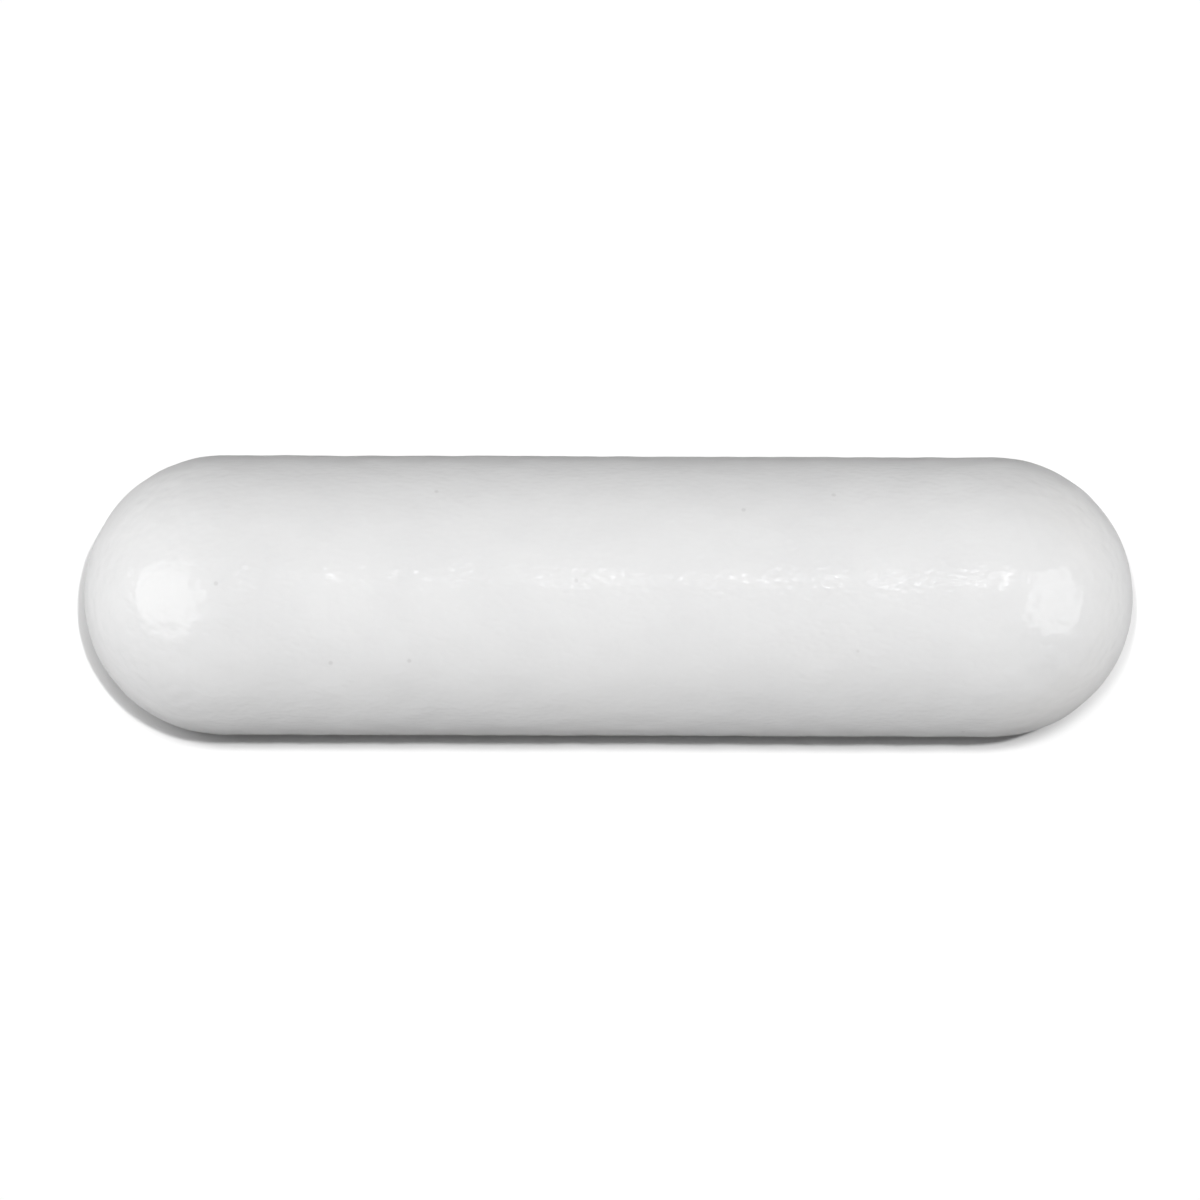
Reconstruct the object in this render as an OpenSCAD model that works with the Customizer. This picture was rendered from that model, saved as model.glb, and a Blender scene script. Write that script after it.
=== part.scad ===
// Magnetic stir bar: a rod magnet sealed in a one-piece PTFE jacket.
// The bar lies along X with its centre at the origin. Sizes are in millimetres.

/* [Jacket] */
// Length over the two rounded ends
bar_length = 30; // [24:0.5:60]
// Outer diameter of the straight part and of the rounded ends
bar_diameter = 8; // [6:0.5:10]
// Thickness of the jacket round the side of the magnet
side_wall = 1.5; // [1:0.1:2]
// Thickness of the jacket past each end of the magnet, on the axis
end_wall = 3; // [2.5:0.1:4]

/* [Magnet] */
// Width of the bevel round each end of the magnet
magnet_bevel = 0.3; // [0.1:0.05:0.5]

/* [Hidden] */
$fn = 96;

end_radius = bar_diameter / 2;
straight_length = bar_length - 2 * end_radius;
magnet_diameter = bar_diameter - 2 * side_wall;
magnet_length = bar_length - 2 * end_wall;

// Turns an outline, drawn as [radius, height], about the X axis.
module turned_about_x() {
    rotate([0, 90, 0])
        rotate_extrude()
            children();
}

// Half of the outline of the jacket's outside: a straight side between two round ends.
module jacket_outline() {
    intersection() {
        union() {
            square([bar_diameter, straight_length], center = true);
            for (end = [-1, 1])
                translate([0, end * straight_length / 2])
                    circle(r = end_radius);
        }
        translate([0, -bar_length])
            square([bar_diameter, 2 * bar_length]);
    }
}

// Half of the magnet's outline: a plain rod with bevelled ends.
module magnet_outline() {
    radius = magnet_diameter / 2;
    half = magnet_length / 2;
    polygon([
        [0, -half],
        [radius - magnet_bevel, -half],
        [radius, -half + magnet_bevel],
        [radius, half - magnet_bevel],
        [radius - magnet_bevel, half],
        [0, half],
    ]);
}

// The magnet rod, which also gives the jacket's cavity its shape.
module magnet_rod() {
    turned_about_x()
        magnet_outline();
}

// The jacket is sintered round the magnet, so the cavity is the magnet's own shape.
module ptfe_jacket() {
    color("whitesmoke")
        difference() {
            turned_about_x()
                jacket_outline();
            magnet_rod();
        }
}

module magnet_core() {
    color("dimgray")
        magnet_rod();
}

ptfe_jacket();
magnet_core();
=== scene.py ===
# %% [markdown]
# # Dressing a magnetic stir bar
#
# A stir bar mixes the liquid in a flask. It is a rod magnet sealed inside a jacket of white PTFE,
# and a turning magnet under the flask spins it. This lesson loads the imported model, gives the
# jacket and the magnet their real surfaces, and lights them as a studio would.
#
# The imported model is the frame of the whole lesson.

# %% Load the imported model
import math

import bmesh
import bpy
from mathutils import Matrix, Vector


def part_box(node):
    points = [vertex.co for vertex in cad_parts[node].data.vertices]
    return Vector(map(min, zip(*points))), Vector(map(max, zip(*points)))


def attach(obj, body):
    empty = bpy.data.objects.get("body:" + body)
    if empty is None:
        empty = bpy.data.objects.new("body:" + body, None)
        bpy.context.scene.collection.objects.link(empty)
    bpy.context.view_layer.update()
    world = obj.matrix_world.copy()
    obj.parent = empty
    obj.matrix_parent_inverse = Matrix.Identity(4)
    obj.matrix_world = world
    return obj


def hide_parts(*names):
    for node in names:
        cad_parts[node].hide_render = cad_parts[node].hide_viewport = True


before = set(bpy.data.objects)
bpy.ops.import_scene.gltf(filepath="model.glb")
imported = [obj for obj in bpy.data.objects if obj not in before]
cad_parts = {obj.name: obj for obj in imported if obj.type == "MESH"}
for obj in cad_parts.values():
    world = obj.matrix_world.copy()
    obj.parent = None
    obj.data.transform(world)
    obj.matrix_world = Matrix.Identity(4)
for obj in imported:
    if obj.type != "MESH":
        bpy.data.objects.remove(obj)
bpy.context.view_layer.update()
print("nodes:", sorted(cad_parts))

# %% [markdown]
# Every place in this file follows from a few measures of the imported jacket: its length, its
# radius, the straight stretch between the two round ends, and the level that it lies on. Blender
# works in metres, so a millimetre gets a name of its own.

# %% Measure the jacket
MM = 0.001
MERGE_DISTANCE = 1e-4 * MM
JACKET = "ptfe_jacket"
MAGNET = "magnet_core"

jacket_low, jacket_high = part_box(JACKET)
magnet_low, magnet_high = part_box(MAGNET)
half_length = (jacket_high.x - jacket_low.x) / 2
bar_radius = (jacket_high.z - jacket_low.z) / 2
half_straight = half_length - bar_radius
print(f"the bar is {2 * half_length / MM:.2f} mm long and {2 * bar_radius / MM:.2f} mm thick")

# %% [markdown]
# Geometry trees and materials are both node trees, and both do a lot of arithmetic. A Math node
# placed by hand for each plus sign is slow to read, so a `Wire` stands for one output of a node,
# and Python's own operators on it add the Math nodes. A `Board` is a tree with one method, `add`,
# for every other kind of node: its settings first, then the values or wires of its sockets.

# %% A small kit for node trees
class Wire:
    """One output of a node, which can be used in ordinary arithmetic."""

    def __init__(self, board, socket):
        self.board = board
        self.socket = socket

    def maths(self, operation, *values):
        """A Math node of this kind on these values or wires."""
        return self.board.add("ShaderNodeMath", {"operation": operation}, dict(enumerate(values)))

    def __add__(self, other):
        return self.maths("ADD", self, other)

    def __radd__(self, other):
        return self.maths("ADD", other, self)

    def __sub__(self, other):
        return self.maths("SUBTRACT", self, other)

    def __rsub__(self, other):
        return self.maths("SUBTRACT", other, self)

    def __mul__(self, other):
        return self.maths("MULTIPLY", self, other)

    def __rmul__(self, other):
        return self.maths("MULTIPLY", other, self)

    def __truediv__(self, other):
        return self.maths("DIVIDE", self, other)

    def __rtruediv__(self, other):
        return self.maths("DIVIDE", other, self)

    def limited(self, low, high):
        """The value, kept between low and high."""
        return self.maths("MINIMUM", self.maths("MAXIMUM", self, low), high)

    def rise(self, low, high):
        """Goes smoothly from 0 to 1 as the value goes from low to high."""
        places = {"Value": self, "From Min": low, "From Max": high}
        return self.board.add("ShaderNodeMapRange", {"interpolation_type": "SMOOTHSTEP"}, places)

    def other(self, name):
        """Another output of the same node."""
        return Wire(self.board, pick(self.socket.node.outputs, name))


class Board:
    """A node tree with one method that adds a node of any kind."""

    def __init__(self, tree):
        self.tree = tree

    def add(self, kind, settings=None, inputs=None, output=0):
        """Makes a node, its settings first, and returns one of its outputs as a Wire."""
        node = self.tree.nodes.new(kind)
        for name, value in (settings or {}).items():
            setattr(node, name, value)
        for name, value in (inputs or {}).items():
            socket = pick(node.inputs, name)
            if isinstance(value, Wire):
                self.tree.links.new(value.socket, socket)
            else:
                socket.default_value = value
        return Wire(self, pick(node.outputs, output)) if node.outputs else node


def pick(sockets, name):
    """A socket by its place in the list, or the first one in use with that name."""
    if isinstance(name, int):
        return sockets[name]
    return next(socket for socket in sockets if socket.enabled and socket.name == name)


def push(board, start, direction, length):
    """The point at this length from a start, in a direction."""
    ends = {0: direction, 1: length, 2: start}
    return board.add("ShaderNodeVectorMath", {"operation": "MULTIPLY_ADD"}, ends)


def lumps(board, place, size, seed, detail=0.0):
    """Smooth random values, mostly between -0.5 and 0.5, whose lumps have this size."""
    sockets = {"Vector": place, "W": seed, "Scale": 1.0 / size, "Detail": detail}
    return board.add("ShaderNodeTexNoise", {"noise_dimensions": "4D"}, sockets) - 0.5


print("node kit ready")

# %% [markdown]
# ## White PTFE
#
# Sintered PTFE is white, waxy and a little translucent, and its pressed skin is glossy but
# uneven. Its look is made of six things:
#
# - a neutral white that is mottled by a few per cent, with a faint warm cast here and there;
# - a few specks of dark dust, which are sintered in;
# - light that soaks in and softens the shading (subsurface scattering over 0.4 mm);
# - a low refractive index, 1.35, so that it reflects only about 2% face on;
# - an orange peel too fine for the mesh, as bump, in two grains: a fine one, which is a little
#   drawn out along the bar and breaks a reflection into small glints, and a coarse one, stronger
#   on the domes, which frays the edge of a reflection;
# - gloss that fades towards the rims: there the peaks of the peel hide its hollows and scatter
#   the light, so a second shader with the same body but no gloss is mixed in by Layer Weight.
#
# Everything is read from Object coordinates, so it stays put on the bar in every view.

# %% The PTFE material
WHITE = (0.845, 0.845, 0.845, 1.0)
SHADED_WHITE = (0.815, 0.815, 0.817, 1.0)
WARM_WHITE = (0.835, 0.80, 0.755, 1.0)
DUST = (0.22, 0.21, 0.20, 1.0)
MOTTLE_SIZE = 2.6 * MM
WARM_SIZE = 6.0 * MM
WARM_SHARE = 0.18
SPECK_SPACING = 1.8 * MM
SPECK_SIZE = 0.09 * MM
SPECK_SHARE = 0.15
REFRACTIVE_INDEX = 1.35
SOAK_DEPTH = 0.4 * MM
FINE_PEEL_SIZE = 0.13 * MM
COARSE_PEEL_SIZE = 0.3 * MM
PEEL_DEPTH = 0.022 * MM
GLOSSY = 0.1
MATTE = 0.9


def new_material(name):
    """An empty material and its board."""
    material = bpy.data.materials.new(name)
    material.use_nodes = True
    material.node_tree.nodes.clear()
    return material, Board(material.node_tree)


def principled(board, sockets):
    """A Principled shader that has these sockets."""
    return board.add("ShaderNodeBsdfPrincipled", {}, sockets)


def close_material(board, shader):
    """Ends a material with this shader."""
    board.add("ShaderNodeOutputMaterial", {}, {"Surface": shader})


def blend(board, amount, first, second):
    """Goes from the first colour to the second."""
    sockets = {"Factor": amount, "A": first, "B": second}
    return board.add("ShaderNodeMix", {"data_type": "RGBA"}, sockets, "Result")


def dust_specks(board, place, spacing, size):
    """1 in the middle of each speck and 0 between them."""
    sockets = {"Vector": place, "Scale": 1.0 / spacing, "Randomness": 1.0}
    distance = board.add("ShaderNodeTexVoronoi", {}, sockets, "Distance") * spacing
    return 1.0 - distance.rise(0.4 * size, size)


def sintered_white(board, place):
    """A mottled white with a faint warm cast and a few specks."""
    mottle = lumps(board, place, MOTTLE_SIZE, seed=1.0, detail=3.0).rise(-0.25, 0.25)
    warm = lumps(board, place, WARM_SIZE, seed=4.0).rise(0.12, 0.35)
    specks = dust_specks(board, place, SPECK_SPACING, SPECK_SIZE)
    colour = blend(board, mottle, WHITE, SHADED_WHITE)
    colour = blend(board, warm * WARM_SHARE, colour, WARM_WHITE)
    return blend(board, specks * SPECK_SHARE, colour, DUST)


def orange_peel(board, place):
    """The normal of a peel in two grains. The coarse one takes over on the domes."""
    sockets = {"Vector": place, "Rotation": (0.0, 0.0, 0.4), "Scale": (0.6, 1.0, 1.0)}
    drawn_out = board.add("ShaderNodeMapping", {}, sockets)
    uneven = lumps(board, place, 5.0 * MM, seed=3.0).rise(-0.15, 0.15) * 0.25 + 0.75
    along = board.add("ShaderNodeSeparateXYZ", {}, {0: place}, "X")
    dome = along.maths("ABSOLUTE", along).rise(half_straight - 0.5 * MM, half_straight + 1.0 * MM)
    fine = lumps(board, drawn_out, FINE_PEEL_SIZE, seed=7.0) * uneven * (1.0 - dome * 0.6)
    coarse = lumps(board, place, COARSE_PEEL_SIZE, seed=8.0) * (0.6 + dome * 1.2)
    sockets = {"Height": fine + coarse, "Strength": 1.0, "Distance": PEEL_DEPTH}
    return board.add("ShaderNodeBump", {}, sockets)


def white_ptfe():
    """The jacket's material."""
    material, board = new_material("white_ptfe")
    place = board.add("ShaderNodeTexCoord", output="Object")
    body = {
        "Base Color": sintered_white(board, place),
        "IOR": REFRACTIVE_INDEX,
        "Subsurface Weight": 1.0,
        "Subsurface Radius": (1.0, 1.0, 1.0),
        "Subsurface Scale": SOAK_DEPTH,
    }
    worn = lumps(board, place, 1.2 * MM, seed=12.0, detail=2.0).rise(-0.2, 0.3)
    gloss = {"Roughness": GLOSSY + worn * 0.03, "Normal": orange_peel(board, place)}
    face_on = principled(board, {**body, **gloss})
    grazing = principled(board, {**body, "Roughness": MATTE})
    slant = board.add("ShaderNodeLayerWeight", {}, {"Blend": 0.5}, "Facing").rise(0.35, 0.8)
    both = board.add("ShaderNodeMixShader", {}, {0: slant, 1: face_on, 2: grazing})
    close_material(board, both)
    return material


ptfe = white_ptfe()
print("material", ptfe.name, "with", len(ptfe.node_tree.nodes), "nodes")

# %% [markdown]
# ## The jacket's outside
#
# The jacket's outside is a capsule, but never a perfect one: it swells and dips by a hundredth of
# a millimetre or two over a few millimetres, and it has a finer orange peel. Both waves bend its
# reflections and its outline, so they are real geometry.
#
# A capsule follows a rule, so Geometry Nodes can make it. A flat grid is wrapped round the bar.
# Across the grid goes the angle round the bar. Along the grid goes the distance over the surface
# from the middle of the bar. Up to the end of the straight stretch that distance is x itself, and
# what is left over bends round the dome as an angle. One formula then serves the straight part
# and both domes, and the rings stay evenly spaced up to the tips.

# %% The tree that wraps a grid into an uneven capsule
SKIN_SIZES = {
    "Radius": ("Float", bar_radius),
    "Half straight": ("Float", half_straight),
    "Quads round": ("Int", 240),
    "Quads along": ("Int", 330),
    "Swell height": ("Float", 0.03 * MM),
    "Swell size": ("Float", 3.0 * MM),
    "Peel height": ("Float", 0.045 * MM),
    "Peel size": ("Float", 0.8 * MM),
    "Seed": ("Float", 5.0),
}


def new_geometry_tree(name, sizes):
    """A geometry tree with these named inputs, and a wire for each of them."""
    tree = bpy.data.node_groups.new(name, "GeometryNodeTree")
    for title, (kind, _) in sizes.items():
        tree.interface.new_socket(title, in_out="INPUT", socket_type="NodeSocket" + kind)
    tree.interface.new_socket("Geometry", in_out="OUTPUT", socket_type="NodeSocketGeometry")
    board = Board(tree)
    first = board.add("NodeGroupInput")
    return board, {title: first.other(title) for title in sizes}


def capsule_place(board, spot, size):
    """Where a spot of the grid comes to lie on the capsule, and which way is outwards."""
    around = board.add("ShaderNodeSeparateXYZ", {}, {0: spot}, "X")
    turn = around * (2.0 * math.pi)
    surface_half = size["Half straight"] + size["Radius"] * (math.pi / 2)
    distance = (around.other("Y") * 2.0 - 1.0) * surface_half
    axis_x = distance.limited(0.0 - size["Half straight"], size["Half straight"])
    bend = (distance - axis_x) / size["Radius"]
    lean = bend.maths("COSINE", bend)
    direction = {
        "X": bend.maths("SINE", bend),
        "Y": lean * turn.maths("COSINE", turn),
        "Z": lean * turn.maths("SINE", turn),
    }
    outwards = board.add("ShaderNodeCombineXYZ", {}, direction)
    axis_point = board.add("ShaderNodeCombineXYZ", {}, {"X": axis_x})
    return push(board, axis_point, outwards, size["Radius"]), outwards


def jacket_skin_tree(material):
    """Wraps a grid into a capsule, adds the waves, and closes the seam and the poles."""
    board, size = new_geometry_tree("jacket_skin_tree", SKIN_SIZES)
    counts = {"Vertices X": size["Quads round"] + 1.0, "Vertices Y": size["Quads along"] + 1.0}
    grid = board.add("GeometryNodeMeshGrid", {}, {"Size X": 1.0, "Size Y": 1.0, **counts})
    place, outwards = capsule_place(board, grid.other("UV Map"), size)
    swell = lumps(board, place, size["Swell size"], size["Seed"]) * size["Swell height"]
    peel = lumps(board, place, size["Peel size"], size["Seed"] + 9.0) * size["Peel height"]
    uneven = push(board, place, outwards, swell + peel)
    skin = board.add("GeometryNodeSetPosition", {}, {"Geometry": grid, "Position": uneven})
    places = {"Geometry": skin, "Distance": MERGE_DISTANCE}
    skin = board.add("GeometryNodeMergeByDistance", {}, places)
    skin = board.add("GeometryNodeSetShadeSmooth", {}, {"Geometry": skin})
    skin = board.add("GeometryNodeRealizeInstances", {}, {"Geometry": skin})
    skin = board.add("GeometryNodeSetMaterial", {}, {"Geometry": skin, "Material": material})
    board.add("NodeGroupOutput", {}, {"Geometry": skin})
    return board.tree


# %% Run the tree and keep the plain mesh
def made_by(tree, sizes, name):
    """Runs a geometry tree and returns an object that holds only the finished mesh."""
    piece = bpy.data.objects.new(name, bpy.data.meshes.new(name + "_start"))
    bpy.context.scene.collection.objects.link(piece)
    maker = piece.modifiers.new("maker", "NODES")
    maker.node_group = tree
    for item in tree.interface.items_tree:
        if item.in_out == "INPUT":
            maker[item.identifier] = sizes[item.name][1]
    finished = piece.evaluated_get(bpy.context.evaluated_depsgraph_get())
    mesh = bpy.data.meshes.new_from_object(finished)
    piece.modifiers.remove(maker)
    piece.data = mesh
    return piece


jacket_skin = made_by(jacket_skin_tree(ptfe), SKIN_SIZES, "jacket_skin")
print("jacket_skin:", len(jacket_skin.data.polygons), "faces")

# %% [markdown]
# ## The jacket's inside
#
# The jacket is hollow: the magnet fills a closed cavity in it. The new skin would lose that wall,
# so the cavity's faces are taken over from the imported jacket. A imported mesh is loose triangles,
# so the copy is merged first. Its cavity is what lies within the magnet's box.

# %% Add the cavity wall
def is_in_box(point, low, high, slack):
    """True if a point lies in a box that is made larger by the slack."""
    return all(low[k] - slack <= point[k] <= high[k] + slack for k in range(3))


def add_cavity_wall(skin, packed_jacket):
    """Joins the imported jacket's inner faces to the skin's mesh."""
    shell = bmesh.new()
    shell.from_mesh(packed_jacket.data)
    bmesh.ops.remove_doubles(shell, verts=shell.verts, dist=MERGE_DISTANCE)
    outside = [
        vertex
        for vertex in shell.verts
        if not is_in_box(vertex.co, magnet_low, magnet_high, slack=0.01 * MM)
    ]
    bmesh.ops.delete(shell, geom=outside, context="VERTS")
    count = len(shell.faces)
    cavity = bpy.data.meshes.new("cavity")
    shell.to_mesh(cavity)
    shell.free()
    whole = bmesh.new()
    whole.from_mesh(skin.data)
    whole.from_mesh(cavity)
    whole.to_mesh(skin.data)
    whole.free()
    bpy.data.meshes.remove(cavity)
    return count


print("cavity wall:", add_cavity_wall(jacket_skin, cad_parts[JACKET]), "faces")
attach(jacket_skin, "root")
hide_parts(JACKET)

# %% [markdown]
# ## Cast AlNiCo
#
# The magnet can't be seen from outside, but it is a piece of its own, and it gets its own finish.
# AlNiCo is cast: the side keeps a dark grey, slightly rough cast skin, and the ends are ground to
# length, which leaves them brighter, smoother and marked with fine straight scratches.

# %% The magnet's material
CAST_SKIN = (0.13, 0.13, 0.14, 1.0)
CAST_WORN = (0.22, 0.215, 0.21, 1.0)
GROUND = (0.45, 0.445, 0.44, 1.0)
PATCH_SIZE = 0.9 * MM
SCRATCH_SIZE = 0.8 * MM
PIT_SIZE = 0.18 * MM
PIT_DEPTH = 0.02 * MM


def cast_alnico(end_x):
    """The magnet's material. Its ground faces lie at end_x on either side."""
    material, board = new_material("cast_alnico")
    place = board.add("ShaderNodeTexCoord", output="Object")
    along = board.add("ShaderNodeSeparateXYZ", {}, {0: place}, "X")
    ground = along.maths("ABSOLUTE", along).rise(end_x - 0.05 * MM, end_x - 0.01 * MM)
    scratched = board.add("ShaderNodeMapping", {}, {"Vector": place, "Scale": (1.0, 12.0, 0.5)})

    patches = lumps(board, place, PATCH_SIZE, seed=2.0, detail=4.0).rise(-0.15, 0.25)
    scratches = lumps(board, scratched, SCRATCH_SIZE, seed=3.0, detail=2.0)
    pits = lumps(board, place, PIT_SIZE, seed=6.0, detail=3.0)
    colour = blend(board, patches, CAST_SKIN, CAST_WORN)
    colour = blend(board, ground, colour, GROUND)
    height = pits * (1.0 - ground) + scratches * ground * 0.3
    sockets = {"Height": height, "Strength": 0.8, "Distance": PIT_DEPTH}
    relief = board.add("ShaderNodeBump", {}, sockets)
    metal = {
        "Base Color": colour,
        "Metallic": 1.0,
        "Roughness": 0.55 + patches * 0.1 - ground * 0.25,
        "Normal": relief,
    }
    close_material(board, principled(board, metal))
    return material


magnet_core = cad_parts[MAGNET]
alnico = cast_alnico(magnet_high.x)
magnet_core.data.materials.clear()
magnet_core.data.materials.append(alnico)
print("material", alnico.name, "with", len(alnico.node_tree.nodes), "nodes")

# %% [markdown]
# ## Floor and surroundings
#
# The bar lies on a plain white table, at the level of the skin's lowest wave. The table shows
# white to the camera and in reflections, and it sends back less light than that to the bar, which
# keeps some shape in the bar's dark side. The surroundings do the same: white where they are
# seen, and a weak even light otherwise.

# %% Floor and world
FLOOR_BOUNCE = 0.08
AMBIENT = 0.08
FLOOR_HALF_WIDTH = 0.6


def seen_directly(board):
    """1 for rays that show a surface as it is: to the camera, in gloss and through glass."""
    ray = board.add("ShaderNodeLightPath", output="Is Camera Ray")
    return (ray + ray.other("Is Glossy Ray") + ray.other("Is Transmission Ray")).limited(0.0, 1.0)


def make_floor(level):
    """A large square at this level."""
    material, board = new_material("white_table")
    bright = FLOOR_BOUNCE + seen_directly(board) * (1.0 - FLOOR_BOUNCE)
    surface = board.add("ShaderNodeBsdfDiffuse", {}, {"Color": bright})
    board.add("ShaderNodeOutputMaterial", {}, {"Surface": surface})
    corners = [(-1, -1), (1, -1), (1, 1), (-1, 1)]
    mesh = bpy.data.meshes.new("table")
    points = [(x * FLOOR_HALF_WIDTH, y * FLOOR_HALF_WIDTH, level) for x, y in corners]
    mesh.from_pydata(points, [], [(0, 1, 2, 3)])
    mesh.materials.append(material)
    table = bpy.data.objects.new("table", mesh)
    bpy.context.scene.collection.objects.link(table)
    return table


def make_world():
    """Even surroundings."""
    world = bpy.data.worlds.new("surroundings")
    world.use_nodes = True
    world.node_tree.nodes.clear()
    board = Board(world.node_tree)
    strength = AMBIENT + seen_directly(board) * (1.0 - AMBIENT)
    sockets = {"Color": (1.0, 1.0, 1.0, 1.0), "Strength": strength}
    light = board.add("ShaderNodeBackground", {}, sockets)
    board.add("ShaderNodeOutputWorld", {}, {"Surface": light})
    bpy.context.scene.world = world


lowest_wave = min(corner.co.z for corner in jacket_skin.data.vertices)
table = make_floor(lowest_wave)
make_world()
print(f"floor at {lowest_wave / MM:.3f} mm")

# %% [markdown]
# ## Lamps
#
# A direction is easiest to give as a lean from straight up: so far to the right (+X) and so far to
# the back (+Y). A lamp's level is the share of full light that it gives to a surface facing it.
# On a surface that faces up the levels add up to about 1, so colours come out as written.
#
# On a bar this white and smooth, one lamp can't do every job well: what shades the sides nicely
# draws a poor shadow. So each job gets its own lamps, and light linking limits them to the table
# or to the bar.
#
# - Three narrow lamps high over the table draw one short shadow. The right one gives it a crisp
#   edge at the lower left, the back one a soft edge in front, and the left one a thin soft edge
#   at the lower right.
# - A lamp overhead and four low ones round the bar shade it. They don't show in its gloss.
# - Two softboxes show only in the gloss, as a bright patch on each dome.
# - A narrow strip shows only in the gloss too, as a long broken glint along the top.
#
# All of them are ovals a few metres away, so they look the same from every part of the bar.

# %% Lamps
LAMP_DISTANCE = 3.0
STRAIGHT_UP = Vector((0.0, 0.0, 1.0))


def leaning(right, back):
    """The direction that leans so many degrees to the right and to the back."""
    tilt = Vector((math.tan(math.radians(right)), math.tan(math.radians(back)), 1.0))
    return tilt.normalized()


def only_on(name, *receivers):
    """A collection that limits a lamp to these objects."""
    group = bpy.data.collections.new(name)
    for receiver in receivers:
        group.objects.link(receiver)
    return group


def add_lamp(name, towards, widths, level, receivers, glossy=False, diffuse=True):
    """A far oval lamp, so many degrees wide from left to right and from front to back."""
    half_wide, half_high = (math.radians(width / 2) for width in widths)
    data = bpy.data.lights.new(name, "AREA")
    data.shape = "ELLIPSE"
    data.size = 2 * LAMP_DISTANCE * math.tan(half_wide)
    data.size_y = 2 * LAMP_DISTANCE * math.tan(half_high)
    brightness = level / (math.sin(half_wide) * math.sin(half_high))
    data.energy = brightness * math.pi * (math.pi / 4 * data.size * data.size_y)
    lamp = bpy.data.objects.new(name, data)
    lamp.location = towards * LAMP_DISTANCE
    lamp.rotation_mode = "QUATERNION"
    lamp.rotation_quaternion = STRAIGHT_UP.rotation_difference(towards)
    lamp.light_linking.receiver_collection = receivers
    lamp.visible_camera = False
    lamp.visible_glossy = glossy
    lamp.visible_diffuse = diffuse
    bpy.context.scene.collection.objects.link(lamp)
    print(f"{name}: level {level}, brightness {brightness:.2f}")


bar_only = only_on("bar_only", jacket_skin, magnet_core)
table_only = only_on("table_only", table)
in_gloss_only = {"glossy": True, "diffuse": False}

add_lamp("right_table_lamp", leaning(5.65, 4.3), (0.8, 1.5), 0.4, table_only)
add_lamp("back_table_lamp", leaning(2.35, 6.4), (9.8, 2.5), 0.3, table_only)
add_lamp("left_table_lamp", leaning(-4.85, 4.3), (0.8, 7.5), 0.24, table_only)
add_lamp("overhead_lamp", leaning(0.0, 0.0), (30.0, 30.0), 0.58, bar_only)
add_lamp("low_left_lamp", leaning(-75.0, 0.0), (50.0, 50.0), 0.63, bar_only)
add_lamp("low_right_lamp", leaning(75.0, 0.0), (50.0, 50.0), 0.51, bar_only)
add_lamp("low_back_lamp", leaning(0.0, 65.0), (50.0, 50.0), 0.115, bar_only)
add_lamp("low_front_lamp", leaning(0.0, -65.0), (50.0, 50.0), 0.02, bar_only)
add_lamp("left_softbox", leaning(-49.0, -3.0), (62.0, 52.0), 0.72, bar_only, **in_gloss_only)
add_lamp("right_softbox", leaning(49.0, -3.0), (47.0, 52.0), 0.53, bar_only, **in_gloss_only)
add_lamp("glint_strip", leaning(9.4, 13.8), (21.4, 2.4), 0.063, bar_only, **in_gloss_only)

# %% [markdown]
# ## Camera
#
# The camera looks straight down at the bar from 250 mm, so the bar lies level across the frame.
# The lens follows from the width of the frame, which is a little more than the bar's length.

# %% Camera
CAMERA_HEIGHT = 0.25
FRAME_WIDTH = 34.36 * MM
AIM = Vector((-0.24 * MM, -0.115 * MM, 0.0))
ROLL = math.radians(0.17)
SENSOR_WIDTH = 36.0
NEAREST_SEEN = 1.0 * MM

camera_data = bpy.data.cameras.new("camera")
camera_data.sensor_width = SENSOR_WIDTH
camera_data.lens = SENSOR_WIDTH * CAMERA_HEIGHT / FRAME_WIDTH
camera_data.clip_start = NEAREST_SEEN
camera = bpy.data.objects.new("camera", camera_data)
camera.location = AIM + Vector((0.0, 0.0, CAMERA_HEIGHT))
camera.rotation_euler = (0.0, 0.0, ROLL)
bpy.context.scene.collection.objects.link(camera)
bpy.context.scene.camera = camera
bpy.context.scene.view_settings.view_transform = "Standard"
print(f"lens {camera_data.lens:.1f} mm")
